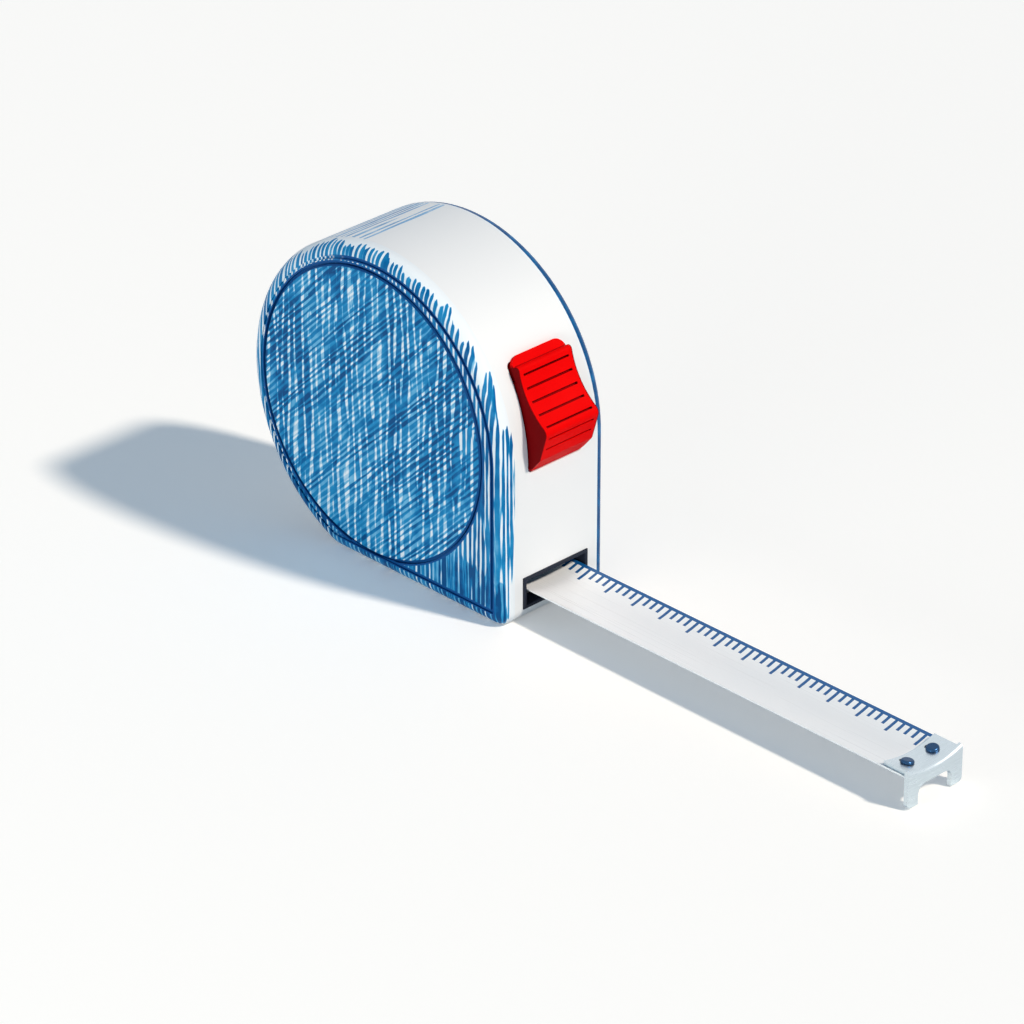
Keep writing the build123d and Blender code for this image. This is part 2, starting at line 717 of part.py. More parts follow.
def make_detent_spring():
    """Leaf fixed to the band, bearing on the back of the lock plate."""
    outer = plate_inner - running_gap - seat_gap
    leaf = sector(outer - detent_thickness, outer, detent_low_deg, detent_high_deg)
    return slab(leaf, -detent_width / 2, detent_width / 2)


def make_belt_clip():
    """Bent spring-steel clip: a root screwed to the left side and a tongue that springs against it."""
    mid = disc_face + seat_gap + clip_thickness / 2
    tongue_y = mid + clip_belt_gap
    nose_y = mid + clip_nose_gap
    bends = [
        (mid, clip_root_top),
        (mid, clip_root_end),
        (tongue_y, clip_root_end - clip_drop),
        (tongue_y, clip_tongue_end),
        (nose_y, clip_nose_height),
        (nose_y + clip_flare, clip_nose_height - clip_flare_height),
    ]
    route = FilletPolyline(*[(0, y, axis_height + z) for y, z in bends], radius=clip_bend_radius)
    section = Plane(route @ 0, x_dir=(1, 0, 0), z_dir=route % 0) * Rectangle(clip_width, clip_thickness)
    clip = sweep(section, path=route)
    low = clip_nose_height - clip_flare_height - clip_thickness
    tall = clip_root_top - low
    outline = Pos(0, axis_height + low + tall / 2) * RectangleRounded(clip_width, tall, clip_corner_radius)
    clip &= slab(outline, half_width / 2, case_width)
    return clip - rod(clip_screw_radius + seat_gap, 0, clip_screw_z, half_width / 2, case_width)


def make_belt_clip_screw():
    """Pan-head screw that holds the clip."""
    seat = disc_face + 2 * seat_gap + clip_thickness
    top = seat + clip_screw_head_height
    head = rod(clip_screw_head_radius, 0, clip_screw_z, seat, top)
    head = fillet(head.faces().sort_by(Axis.Y)[-1].edges(), clip_screw_head_height / 2)
    tip = clip_boss_low + clip_boss_floor + clip_screw_tip_gap
    shank = rod(clip_screw_radius, 0, clip_screw_z, tip, seat)
    return head + shank - drive_cross(clip_screw_head_radius / 2, drive_depth, top, 0, clip_screw_z)


def main():
    parts = {
        "case_band": make_case_band(),
        "right_cover": make_cover(-1),
        "left_cover": make_cover(1),
        "right_side_disc": make_side_disc(-1),
        "left_side_disc": make_side_disc(1),
        "case_screws": make_case_screws(),
        "centre_post": make_centre_post(),
        "reel_drum": make_reel_drum(),
        "reel_flange": make_reel_flange(),
        "thrust_washers": make_thrust_washers(),
        "return_spring": make_return_spring(),
        "blade_coil": make_blade_coil(),
        "blade_strip": make_blade_strip(),
        "end_hook": make_end_hook(),
        "hook_rivets": make_hook_rivets(),
        "mouth_bumper": make_mouth_bumper(),
        "lock_button": make_lock_button(),
        "brake_tongue": make_brake_tongue(),
        "brake_pad": make_brake_pad(),
        "detent_spring": make_detent_spring(),
        "belt_clip": make_belt_clip(),
        "belt_clip_screw": make_belt_clip_screw(),
    }
    os.makedirs("parts", exist_ok=True)
    for name, part in parts.items():
        export_step(part, f"parts/{name}.step")


if __name__ == "__main__":
    main()
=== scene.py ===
import math

import bpy
import numpy as np
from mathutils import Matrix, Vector


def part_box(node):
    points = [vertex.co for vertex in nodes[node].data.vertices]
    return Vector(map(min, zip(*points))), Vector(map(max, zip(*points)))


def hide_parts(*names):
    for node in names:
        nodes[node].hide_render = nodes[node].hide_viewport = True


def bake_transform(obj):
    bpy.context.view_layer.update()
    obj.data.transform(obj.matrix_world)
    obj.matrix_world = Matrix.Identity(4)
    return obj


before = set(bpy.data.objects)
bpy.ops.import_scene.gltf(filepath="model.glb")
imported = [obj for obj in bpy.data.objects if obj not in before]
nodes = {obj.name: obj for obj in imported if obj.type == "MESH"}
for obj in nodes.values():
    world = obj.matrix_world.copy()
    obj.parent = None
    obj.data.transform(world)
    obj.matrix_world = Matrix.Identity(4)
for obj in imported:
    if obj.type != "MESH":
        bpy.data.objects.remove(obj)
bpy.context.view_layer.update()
mm = 0.001
white = (1, 1, 1, 1)
absIor = 1.53
noiseLow, noiseHigh = 0.3, 0.7  # nearly all of a noise texture lies between these
reelHeight = 29.2  # mm, the reel's axis runs along Y this far above the base
caseRadius = 31.2  # mm, round of the case about the reel
sideHalf = 12.2  # mm, from mid width to a cover's flat
underGroove = 0.6  # mm below that flat, deeper than the groove in it
print("frame loaded:", len(nodes), "nodes")


# Shared helpers
def linear(hexColour):  # sRGB hex to the linear values a shader takes
    parts = [int(hexColour[i:i + 2], 16) / 255 for i in (1, 3, 5)]
    return [c / 12.92 if c <= 0.04045 else ((c + 0.055) / 1.055) ** 2.4 for c in parts] + [1.0]


def addObject(name, data):  # a new object at the origin
    item = bpy.data.objects.new(name, data)
    bpy.context.scene.collection.objects.link(item)
    return item


def setInputs(tree, node, inputs):  # a socket is linked, any other value is set
    for key, value in inputs.items():
        if isinstance(value, bpy.types.NodeSocket):
            tree.links.new(value, node.inputs[key])
        else:
            node.inputs[key].default_value = value


# Inputs go by name or by place. A Map Range has its range at 1 and 2 and what it gives at 3 and 4. A Mix of
# colours has the share of the second at 0, the two at 6 and 7, and the mixed colour at output 2.
def addNode(tree, kind, inputs=None, stops=(), **settings):  # one node with its settings, values and links
    node = tree.nodes.new("ShaderNode" + kind)
    for name, value in settings.items():
        setattr(node, name, value)
    for at, hexColour in stops:  # of a colour ramp, whose own two stops are at 0 and 1
        known = [mark for mark in node.color_ramp.elements if mark.position == at]
        mark = known[0] if known else node.color_ramp.elements.new(at)
        mark.color = linear(hexColour)
    setInputs(tree, node, inputs or {})
    return node


def startMaterial(name, shaderInputs):  # an empty material with its shader, and the place in mm
    material = bpy.data.materials.new(name)
    material.use_nodes = True
    tree = material.node_tree
    tree.nodes.clear()
    shader = addNode(tree, "BsdfPrincipled", shaderInputs)
    addNode(tree, "OutputMaterial", {"Surface": shader.outputs["BSDF"]})
    place = addNode(tree, "TexCoord").outputs["Object"]
    inMm = addNode(tree, "VectorMath", {0: place, 1: [1 / mm] * 3}, operation="MULTIPLY")
    return material, tree, shader, inMm.outputs["Vector"]


def seenRays(tree):  # 1 for what shows in the picture, straight or as a reflection, 0 for light that bounces
    rays = addNode(tree, "LightPath").outputs
    either = {0: rays["Is Camera Ray"], 1: rays["Is Glossy Ray"]}
    return addNode(tree, "Math", either, operation="MAXIMUM").outputs[0]


def between(value, limits):  # inputs of a Compare that gives 1 from the first limit to the second
    start, end = limits
    return {0: value, 1: (start + end) / 2, 2: (end - start) / 2}


def dress(material, *names):  # put a material on CAD nodes
    for name in names:
        for materialSlot in nodes[name].material_slots:
            materialSlot.material = material


# Camera, at the drawing's angle
cameraView = {
    "azimuth": 45.55, "elevation": 28.5, "distance": 0.9, "lens": 190.2, "clipEnd": 20,
    "aim": (0.03154, -0.01053, 0.02255),
}
turn = math.radians(cameraView["azimuth"])
tilt = math.radians(cameraView["elevation"])
back = Vector((math.sin(turn) * math.cos(tilt), -math.cos(turn) * math.cos(tilt), math.sin(tilt)))
cameraData = bpy.data.cameras.new("camera")
cameraData.lens = cameraView["lens"]
cameraData.clip_end = cameraView["clipEnd"]
camera = addObject("camera", cameraData)
camera.location = Vector(cameraView["aim"]) + back * cameraView["distance"]
camera.rotation_euler = (-back).to_track_quat("-Z", "Y").to_euler()
bpy.context.scene.camera = camera

# Light: a soft, slightly warm sun from the right of the picture, a fill on the near blue side and a cool pale
# world
light = {
    "keyStrength": 2.68, "keySoftness": 5, "keyFrom": (0.945, 0.328, 1.06), "keyColour": "#fff4e6",
    "fillWatts": 3.6, "fillSize": (0.7, 0.12), "fillFrom": (0.14, -0.82, 0.075), "fillColour": "#fbfdf6",
    "aim": (0, 0, 0.025), "worldStrength": 0.31, "worldColour": "#a6d3fb",
}
bpy.context.scene.view_settings.view_transform = "Standard"
keyData = bpy.data.lights.new("key", "SUN")
keyData.energy = light["keyStrength"]
keyData.angle = math.radians(light["keySoftness"])
fillData = bpy.data.lights.new("fill", "AREA")
fillData.energy = light["fillWatts"]
fillData.shape = "RECTANGLE"  # low and wide, so that it hardly reaches the shadow on the floor
fillData.size, fillData.size_y = light["fillSize"]
for name, data in (("key", keyData), ("fill", fillData)):
    start = Vector(light[name + "From"])
    data.color = linear(light[name + "Colour"])[:3]
    lamp = addObject(name, data)
    lamp.location = start
    lamp.rotation_euler = (Vector(light["aim"]) - start).to_track_quat("-Z", "Y").to_euler()

world = bpy.data.worlds.new("studio")
world.use_nodes = True
bpy.context.scene.world = world
tree = world.node_tree
tree.nodes.clear()
softLight = {"Color": linear(light["worldColour"]), "Strength": light["worldStrength"]}
soft = addNode(tree, "Background", softLight).outputs[0]
backdrop = addNode(tree, "Background", {"Color": white, "Strength": 1.0}).outputs[0]
sky = addNode(tree, "MixShader", {0: seenRays(tree), 1: soft, 2: backdrop}).outputs[0]
addNode(tree, "OutputWorld", {"Surface": sky})

# Floor: a pale matt board, 3 m wide, just under the base plane; z is the same all over
floorLook = {
    "halfSize": 1.5, "drop": 0.05, "seen": "#fffcf7", "bounced": "#ccd2d8", "lift": 0.18,
    "roughness": 0.9, "specular": 0.1,
}
floorCorners = np.array([[-1, -1, 0], [1, -1, 0], [1, 1, 0], [-1, 1, 0]]) * floorLook["halfSize"]
floorMesh = bpy.data.meshes.new("floor")
floorMesh.from_pydata((floorCorners - [0, 0, floorLook["drop"] * mm]).tolist(), [], [(0, 1, 2, 3)])
floor = addObject("floor", floorMesh)
floorShine = {"Roughness": floorLook["roughness"], "Specular IOR Level": floorLook["specular"]}
floorPaint, tree, shader, place = startMaterial("matt_floor_board", floorShine)
# the camera sees the board paler than the light it throws back at the object, so the whites keep their
# shading
seen = seenRays(tree)
paint = {0: seen, 6: linear(floorLook["bounced"]), 7: linear(floorLook["seen"])}
lift = {0: seen, 1: floorLook["lift"]}
setInputs(tree, shader, {
    "Base Color": addNode(tree, "Mix", paint, data_type="RGBA").outputs[2],
    "Emission Color": white,
    "Emission Strength": addNode(tree, "Math", lift, operation="MULTIPLY").outputs[0],
})
floorMesh.materials.append(floorPaint)
print("camera, light and floor set")

# Strokes: the print on the case is hatched, in sets of strokes that overlap
strokeRules = {
    "waveLength": 0.314159,  # mm from band to band of a wave texture at scale 1
    "slow": 0.4, "fine": 1.6,  # waves of noise in one spacing
    "soft": 0.2,  # half the step from bare to full ink
    "ending": (-0.2, 0.1), "takenOff": 2.0,  # over this step so much is taken off that a stroke ends
    "pressNoise": (0.35, 0.65),
}


def strokeInk(tree, across, along, stroke, fade):
    # slow noise drawn out along the strokes shifts them sideways, waves space them, finer noise breaks them
    # up and, where fade goes from 0 to 1, each ends at a place of its own
    spacing = stroke["spacing"]
    spot = addNode(tree, "CombineXYZ", {0: across, 1: along}).outputs[0]
    pulled = {0: spot, 1: (1, 1 / stroke["length"], 1)}
    drawn = addNode(tree, "VectorMath", pulled, operation="MULTIPLY").outputs[0]
    slowNoise = {"Vector": drawn, "Scale": strokeRules["slow"] / spacing, "Detail": 1.0}
    slow = addNode(tree, "TexNoise", slowNoise).outputs["Color"]
    chance = addNode(tree, "SeparateColor", {0: slow}).outputs
    sideways = {0: chance[0], 1: stroke["drift"], 2: across}
    shifted = addNode(tree, "Math", sideways, operation="MULTIPLY_ADD").outputs[0]
    moved = addNode(tree, "CombineXYZ", {0: shifted, 1: along}).outputs[0]
    bands = {"Vector": moved, "Scale": strokeRules["waveLength"] / spacing}
    waves = addNode(tree, "TexWave", bands).outputs["Fac"]
    fineNoise = {"Vector": drawn, "Scale": strokeRules["fine"] / spacing, "Detail": 2.0}
    fine = addNode(tree, "TexNoise", fineNoise).outputs[0]
    broken = {0: fine, 1: stroke["breakUp"], 2: waves}
    total = addNode(tree, "Math", broken, operation="MULTIPLY_ADD").outputs[0]
    ownPlace = {0: chance[1], 1: stroke["uneven"], 2: fade}
    uneven = addNode(tree, "Math", ownPlace, operation="MULTIPLY_ADD").outputs[0]
    middle = 0.5 * stroke["uneven"] + 0.5  # where the noise and the fade are both half way
    start, end = [middle + step for step in strokeRules["ending"]]
    takenOff = {"Value": uneven, 1: start, 2: end, 3: 0.0, 4: strokeRules["takenOff"]}
    hold = addNode(tree, "MapRange", takenOff).outputs[0]
    left = addNode(tree, "Math", {0: total, 1: hold}, operation="SUBTRACT").outputs[0]
    bare, full = stroke["level"] - strokeRules["soft"], stroke["level"] + strokeRules["soft"]
    edge = {"Value": left, 1: bare, 2: full}
    ink = addNode(tree, "MapRange", edge, interpolation_type="SMOOTHSTEP").outputs[0]
    low, high = strokeRules["pressNoise"]
    pen = {"Value": chance[2], 1: low, 2: high, 3: 1 - stroke["press"], 4: 1 + stroke["press"]}
    press = addNode(tree, "MapRange", pen).outputs[0]
    return addNode(tree, "Math", {0: ink, 1: press}, operation="MULTIPLY").outputs[0]


# White ABS, injection moulded: an even satin white with the grain of a spark-eroded mould, drawn coarser than
# it is so that it shows, and a few strokes of painted shade across the band where its round turns to the back
bandLook = {
    "colours": ((0.0, "#f1f2f2"), (0.4, "#6fb0dc"), (1.0, "#0a5c9c")),
    "strokes": {
        "spacing": 1.4, "drift": 2.5, "length": 14, "breakUp": 2.2, "uneven": 1.2, "level": 1.6, "press": 0.2,
    },
    "shadeHatchFrom": (88, 110), "shadeHatchTo": (140, 165),  # degrees round the reel, where strokes begin and end
    "pressSize": 4.0, "grain": 0.35, "grainHeight": 0.006, "grainStrength": 0.6, "gloss": (0.36, 0.5),
}
whiteAbs, tree, shader, place = startMaterial("moulded_white_abs", {"IOR": absIor})
split = addNode(tree, "SeparateXYZ", {0: place}).outputs
high = addNode(tree, "Math", {0: split["Z"], 1: reelHeight}, operation="SUBTRACT").outputs[0]
angle = addNode(tree, "Math", {0: high, 1: split["X"]}, operation="ARCTAN2").outputs[0]
arc = addNode(tree, "Math", {0: angle, 1: caseRadius}, operation="MULTIPLY").outputs[0]
fades = []
for key, first, last in (("shadeHatchFrom", 1.0, 0.0), ("shadeHatchTo", 0.0, 1.0)):
    start, end = [math.radians(degrees) for degrees in bandLook[key]]
    limits = {"Value": angle, 1: start, 2: end, 3: first, 4: last}
    fades.append(addNode(tree, "MapRange", limits).outputs[0])
fade = addNode(tree, "Math", {0: fades[0], 1: fades[1]}, operation="ADD").outputs[0]
# painted shade: blue strokes over the top of the band where its round turns to the back
ink = strokeInk(tree, arc, split["Y"], bandLook["strokes"], fade)
pressNoise = {"Vector": place, "Scale": 1 / bandLook["pressSize"], "Detail": 2.0}
press = addNode(tree, "TexNoise", pressNoise).outputs[0]
amount = addNode(tree, "Math", {0: ink, 1: press}, operation="MULTIPLY").outputs[0]
grainNoise = {"Vector": place, "Scale": 1 / bandLook["grain"], "Detail": 1.0}
grain = addNode(tree, "TexNoise", grainNoise).outputs[0]
smooth, rough = bandLook["gloss"]
gloss = {"Value": grain, 1: noiseLow, 2: noiseHigh, 3: smooth, 4: rough}
bump = {"Height": grain, "Distance": bandLook["grainHeight"] * mm, "Strength": bandLook["grainStrength"]}
setInputs(tree, shader, {
    "Base Color": addNode(tree, "ValToRGB", {0: amount}, bandLook["colours"]).outputs[0],
    "Roughness": addNode(tree, "MapRange", gloss).outputs[0],
    "Normal": addNode(tree, "Bump", bump).outputs[0],
})
dress(whiteAbs, "case_band")
print("white band dressed")

# Blue hatched ABS: pale plastic printed with upright and slanting blue strokes that overlap, each standing a
# little proud and glossier than the bare plastic, with dark lines of painted shade along the grooves
printLook = {
    "inks": ((0.0, "#f1f6f9"), (0.3, "#78bfe2"), (0.5, "#2390c6"), (0.85, "#0067a2"), (1.0, "#004d84")),
    "line": "#0f5190", "specular": 0.1, "gloss": (0.48, 0.38), "inkHeight": 0.02, "inkStrength": 0.5,
    "pressSize": 3.0, "pressNoise": (0.25, 0.75), "pressGain": (0.75, 1.25), "patchNoise": (0.62, 0.95),
}
upright = {
    "angle": 90, "spacing": 1.75, "drift": 3.2, "length": 6, "breakUp": 2.5, "uneven": 0.0, "level": 1.45,
    "press": 0.3, "weight": 0.5,
}
slanting = {
    "angle": 44, "spacing": 0.95, "drift": 1.6, "length": 12, "breakUp": 2.6, "uneven": 1.0, "level": 1.7,
    "press": 0.5, "weight": 0.38, "patch": 14,
}
overRim = {
    **upright, "spacing": 1.05, "drift": 1.2, "length": 14, "uneven": 2.0, "level": 1.5, "weight": 0.68,
}
lowDown = {
    **overRim, "spacing": 1.5, "drift": 2.4, "length": 8, "uneven": 1.0, "level": 1.3, "weight": 0.4,
    "below": (7, 17),
}
discLook = {**printLook, "ring": (-0.25, 1.0), "strokes": (upright, slanting)}
nearCoverLook = {
    **printLook, "ring": (0.0, 0.75), "strokes": (overRim, lowDown),
    "grooveInset": (2.3, 3.25), "grooveFrom": (-13, -7),  # in from the outline, and along X where it begins
    "rimFade": (12.2, 9.6),  # from mid width: the strokes end between these
    "denseBelow": (30, 46), "denseMore": -0.6,  # heights below which they reach further, and by how much
}
farCoverLook = {
    **nearCoverLook, "rimFade": (11.9, 11.0), "denseBelow": (3, 16), "denseMore": -0.5,
    "rimInk": (10.0, 12.0), "rimMost": 0.98,  # from mid width: an even line of ink round the rim
}


def grooveShadeLines(tree, look, disc, flat, depth, height):
    # where the painted shade goes along the grooves and a little past them
    # 1 on a ring round the disc, and on a cover's groove too; that lies at an even inset from the outline,
    # which is round about the reel, straight in front below the reel's axis, and straight at the base
    low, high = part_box(disc)
    middle = ((low[0] + high[0]) / 2 / mm, 0, (low[2] + high[2]) / 2 / mm - reelHeight)
    toDisc = addNode(tree, "VectorMath", {0: flat, 1: middle}, operation="DISTANCE").outputs["Value"]
    ring = [(high[0] - low[0]) / 2 / mm + step for step in look["ring"]]
    onRing = addNode(tree, "Math", between(toDisc, ring), operation="COMPARE").outputs[0]
    if "grooveInset" not in look:
        return onRing
    parts = addNode(tree, "SeparateXYZ", {0: flat}).outputs
    ahead = addNode(tree, "Math", {0: parts["X"], 1: 0.0}, operation="GREATER_THAN").outputs[0]
    upper = addNode(tree, "Math", {0: parts["Z"], 1: 0.0}, operation="MAXIMUM").outputs[0]
    rise = addNode(tree, "Mix", {0: ahead, 2: parts["Z"], 3: upper}).outputs[0]
    outward = addNode(tree, "CombineXYZ", {0: parts["X"], 2: rise}).outputs[0]
    reach = addNode(tree, "VectorMath", {0: outward}, operation="LENGTH").outputs["Value"]
    fromRound = addNode(tree, "Math", {0: caseRadius, 1: reach}, operation="SUBTRACT").outputs[0]
    inset = addNode(tree, "Math", {0: fromRound, 1: height}, operation="MINIMUM").outputs[0]
    inGroove = addNode(tree, "Math", between(inset, look["grooveInset"]), operation="COMPARE").outputs[0]
    onFlat = addNode(tree, "Math", {0: depth, 1: sideHalf - underGroove}, operation="GREATER_THAN").outputs[0]
    start, end = look["grooveFrom"]
    begun = addNode(tree, "MapRange", {"Value": parts["X"], 1: start, 2: end}).outputs[0]
    inkedPart = addNode(tree, "Math", {0: onFlat, 1: begun}, operation="MULTIPLY").outputs[0]
    both = {0: inGroove, 1: inkedPart, 2: onRing}
    return addNode(tree, "Math", both, operation="MULTIPLY_ADD", use_clamp=True).outputs[0]


def hatchedAbs(name, look, disc):
    shine = {"IOR": absIor, "Specular IOR Level": look["specular"]}
    material, tree, shader, place = startMaterial(name, shine)
    split = addNode(tree, "SeparateXYZ", {0: place}).outputs
    depth = addNode(tree, "Math", {0: split["Y"]}, operation="ABSOLUTE").outputs[0]
    # the strokes carry on over the rim: a place is moved out from the reel's axis by its depth below the
    # groove
    below = addNode(tree, "Math", {0: sideHalf, 1: depth}, operation="SUBTRACT").outputs[0]
    deeper = {"Value": below, 1: underGroove, 2: underGroove + caseRadius, 3: 1, 4: 2}
    grow = addNode(tree, "MapRange", deeper).outputs[0]
    fromReel = {0: place, 1: (1, 0, 1), 2: (0, 0, -reelHeight)}
    flat = addNode(tree, "VectorMath", fromReel, operation="MULTIPLY_ADD").outputs["Vector"]
    point = addNode(tree, "VectorMath", {0: flat, "Scale": grow}, operation="SCALE").outputs["Vector"]
    rim = fade = 0.0
    if "rimFade" in look:
        start, end = look["rimFade"]
        rim = addNode(tree, "MapRange", {"Value": depth, 1: end, 2: start, 3: 1.0, 4: 0.0}).outputs[0]
        low, high = look["denseBelow"]
        lowDense = {"Value": split["Z"], 1: low, 2: high, 3: look["denseMore"], 4: 0.0}
        dense = addNode(tree, "MapRange", lowDense).outputs[0]
        fade = addNode(tree, "Math", {0: rim, 1: dense}, operation="ADD").outputs[0]
    amount = 0.0
    for stroke in look["strokes"]:
        turned = math.radians(stroke["angle"])
        sideWay = (-math.sin(turned), 0, math.cos(turned))
        longWay = (math.cos(turned), 0, math.sin(turned))
        across = addNode(tree, "VectorMath", {0: point, 1: sideWay}, operation="DOT_PRODUCT").outputs["Value"]
        along = addNode(tree, "VectorMath", {0: point, 1: longWay}, operation="DOT_PRODUCT").outputs["Value"]
        ends = fade
        if "patch" in stroke:  # this set comes and goes
            patchNoise = {"Vector": point, "Scale": 1 / stroke["patch"], "Detail": 1.0}
            cloud = addNode(tree, "TexNoise", patchNoise).outputs[0]
            low, high = look["patchNoise"]
            ends = addNode(tree, "MapRange", {"Value": cloud, 1: low, 2: high}).outputs[0]
        if "below" in stroke:  # this set is drawn low on the side only
            low, high = stroke["below"]
            above = addNode(tree, "MapRange", {"Value": split["Z"], 1: low, 2: high}).outputs[0]
            ends = addNode(tree, "Math", {0: rim, 1: above}, operation="ADD").outputs[0]
        ink = strokeInk(tree, across, along, stroke, ends)
        added = {0: ink, 1: stroke["weight"], 2: amount}
        amount = addNode(tree, "Math", added, operation="MULTIPLY_ADD").outputs[0]
    if "rimInk" in look:
        onLine = addNode(tree, "Math", between(depth, look["rimInk"]), operation="COMPARE").outputs[0]
        solid = addNode(tree, "Math", {0: onLine, 1: look["rimMost"]}, operation="MULTIPLY").outputs[0]
        amount = addNode(tree, "Math", {0: amount, 1: solid}, operation="MAXIMUM").outputs[0]
    pressNoise = {"Vector": point, "Scale": 1 / look["pressSize"], "Detail": 3.0}
    press = addNode(tree, "TexNoise", pressNoise).outputs[0]
    low, high = look["pressNoise"]
    least, most = look["pressGain"]
    pressed = addNode(tree, "MapRange", {"Value": press, 1: low, 2: high, 3: least, 4: most}).outputs[0]
    inked = addNode(tree, "Math", {0: amount, 1: pressed}, operation="MULTIPLY").outputs[0]
    hatched = addNode(tree, "ValToRGB", {0: inked}, look["inks"]).outputs[0]
    # painted shade: a dark line along the groove round the disc and the groove inside the rim, and a little
    # past them
    line = grooveShadeLines(tree, look, disc, flat, depth, split["Z"])
    lined = {0: line, 6: hatched, 7: linear(look["line"])}
    bare, full = look["gloss"]
    bump = {"Height": inked, "Distance": look["inkHeight"] * mm, "Strength": look["inkStrength"]}
    setInputs(tree, shader, {
        "Base Color": addNode(tree, "Mix", lined, data_type="RGBA").outputs[2],
        "Roughness": addNode(tree, "MapRange", {"Value": inked, 3: bare, 4: full}).outputs[0],
        "Normal": addNode(tree, "Bump", bump).outputs[0],
    })
    return material


dress(hatchedAbs("printed_blue_abs_near_disc", discLook, "right_side_disc"), "right_side_disc")
dress(hatchedAbs("printed_blue_abs_far_disc", discLook, "left_side_disc"), "left_side_disc")
dress(hatchedAbs("printed_blue_abs_near_cover", nearCoverLook, "right_side_disc"), "right_cover")
dress(hatchedAbs("printed_blue_abs_far_cover", farCoverLook, "left_side_disc"), "left_cover")
print("blue sides dressed")

# Red ABS, moulded: an even matt red, a little brighter and smoother where the thumb rubs it, with painted
# shade on its flanks and in its grooves
lockLook = {
    "colour": "#ea0002", "worn": "#f60403", "flankShade": "#6e0206", "grooveShade": "#560206", "specular": 0.03,
    "wearSize": 6.0, "gloss": (0.64, 0.52), "flankShadeFrom": 5.95, "flankShadeTo": 6.15,  # from mid width
    "grooveReach": 0.5, "grooveSamples": 8, "grooveOpen": (0.4, 0.75),
    "grain": 0.3, "grainHeight": 0.006, "grainStrength": 0.5,  # coarser than it is, to show
}
redShine = {"IOR": absIor, "Specular IOR Level": lockLook["specular"]}
redAbs, tree, shader, place = startMaterial("moulded_red_abs", redShine)
wearNoise = {"Vector": place, "Scale": 1 / lockLook["wearSize"], "Detail": 2.0}
wear = addNode(tree, "TexNoise", wearNoise).outputs[0]
worn = {0: wear, 6: linear(lockLook["colour"]), 7: linear(lockLook["worn"])}
face = addNode(tree, "Mix", worn, data_type="RGBA").outputs[2]
# painted shade: the flanks of the pad, this far out from mid width, are painted dark red
sideways = addNode(tree, "SeparateXYZ", {0: place}).outputs["Y"]
fromMiddle = addNode(tree, "Math", {0: sideways}, operation="ABSOLUTE").outputs[0]
flankShadeStep = {"Value": fromMiddle, 1: lockLook["flankShadeFrom"], 2: lockLook["flankShadeTo"]}
onShadedFlank = addNode(tree, "MapRange", flankShadeStep).outputs[0]
flankShadeMix = {0: onShadedFlank, 6: face, 7: linear(lockLook["flankShade"])}
flankShaded = addNode(tree, "Mix", flankShadeMix, data_type="RGBA").outputs[2]
# painted shade: where ambient occlusion finds the pad closed in, in its grooves and inner corners, it is
# painted near black red
grooveReach = {"Distance": lockLook["grooveReach"] * mm}
nearby = addNode(tree, "AmbientOcclusion", grooveReach, samples=lockLook["grooveSamples"], only_local=True)
closed, clear = lockLook["grooveOpen"]
grooveShadeStep = {"Value": nearby.outputs["AO"], 1: closed, 2: clear, 3: 1.0, 4: 0.0}
grooveShadeAmount = addNode(tree, "MapRange", grooveShadeStep).outputs[0]
grooveShaded = {0: grooveShadeAmount, 6: flankShaded, 7: linear(lockLook["grooveShade"])}
grainNoise = {"Vector": place, "Scale": 1 / lockLook["grain"], "Detail": 1.0}
grain = addNode(tree, "TexNoise", grainNoise).outputs[0]
moulded, rubbed = lockLook["gloss"]
gloss = {"Value": wear, 1: noiseLow, 2: noiseHigh, 3: moulded, 4: rubbed}
bump = {"Height": grain, "Distance": lockLook["grainHeight"] * mm, "Strength": lockLook["grainStrength"]}
setInputs(tree, shader, {
    "Base Color": addNode(tree, "Mix", grooveShaded, data_type="RGBA").outputs[2],
    "Roughness": addNode(tree, "MapRange", gloss).outputs[0],
    "Normal": addNode(tree, "Bump", bump).outputs[0],
})
dress(redAbs, "lock_button")

# Rubber, moulded: near black, dull, with a dusty bloom
rubberLook = {
    "colour": "#070f1d", "bloom": "#152033", "ior": 1.52, "specular": 0.3, "dustSize": 3.0,
    "gloss": (0.6, 0.85), "grain": 0.4, "grainHeight": 0.015, "grainStrength": 0.6,  # coarser, to show
}
rubberShine = {"IOR": rubberLook["ior"], "Specular IOR Level": rubberLook["specular"]}
rubber, tree, shader, place = startMaterial("moulded_rubber", rubberShine)
dustNoise = {"Vector": place, "Scale": 1 / rubberLook["dustSize"], "Detail": 3.0}
dust = addNode(tree, "TexNoise", dustNoise).outputs[0]
dusty = {0: dust, 6: linear(rubberLook["colour"]), 7: linear(rubberLook["bloom"])}
grainNoise = {"Vector": place, "Scale": 1 / rubberLook["grain"], "Detail": 1.0}
grain = addNode(tree, "TexNoise", grainNoise).outputs[0]
clean, dull = rubberLook["gloss"]
bump = {"Height": grain, "Distance": rubberLook["grainHeight"] * mm, "Strength": rubberLook["grainStrength"]}
setInputs(tree, shader, {
    "Base Color": addNode(tree, "Mix", dusty, data_type="RGBA").outputs[2],
    "Roughness": addNode(tree, "MapRange", {"Value": dust, 3: clean, 4: dull}).outputs[0],
    "Normal": addNode(tree, "Bump", bump).outputs[0],
})
dress(rubber, "mouth_bumper", "brake_pad")
print("lock and rubber dressed")

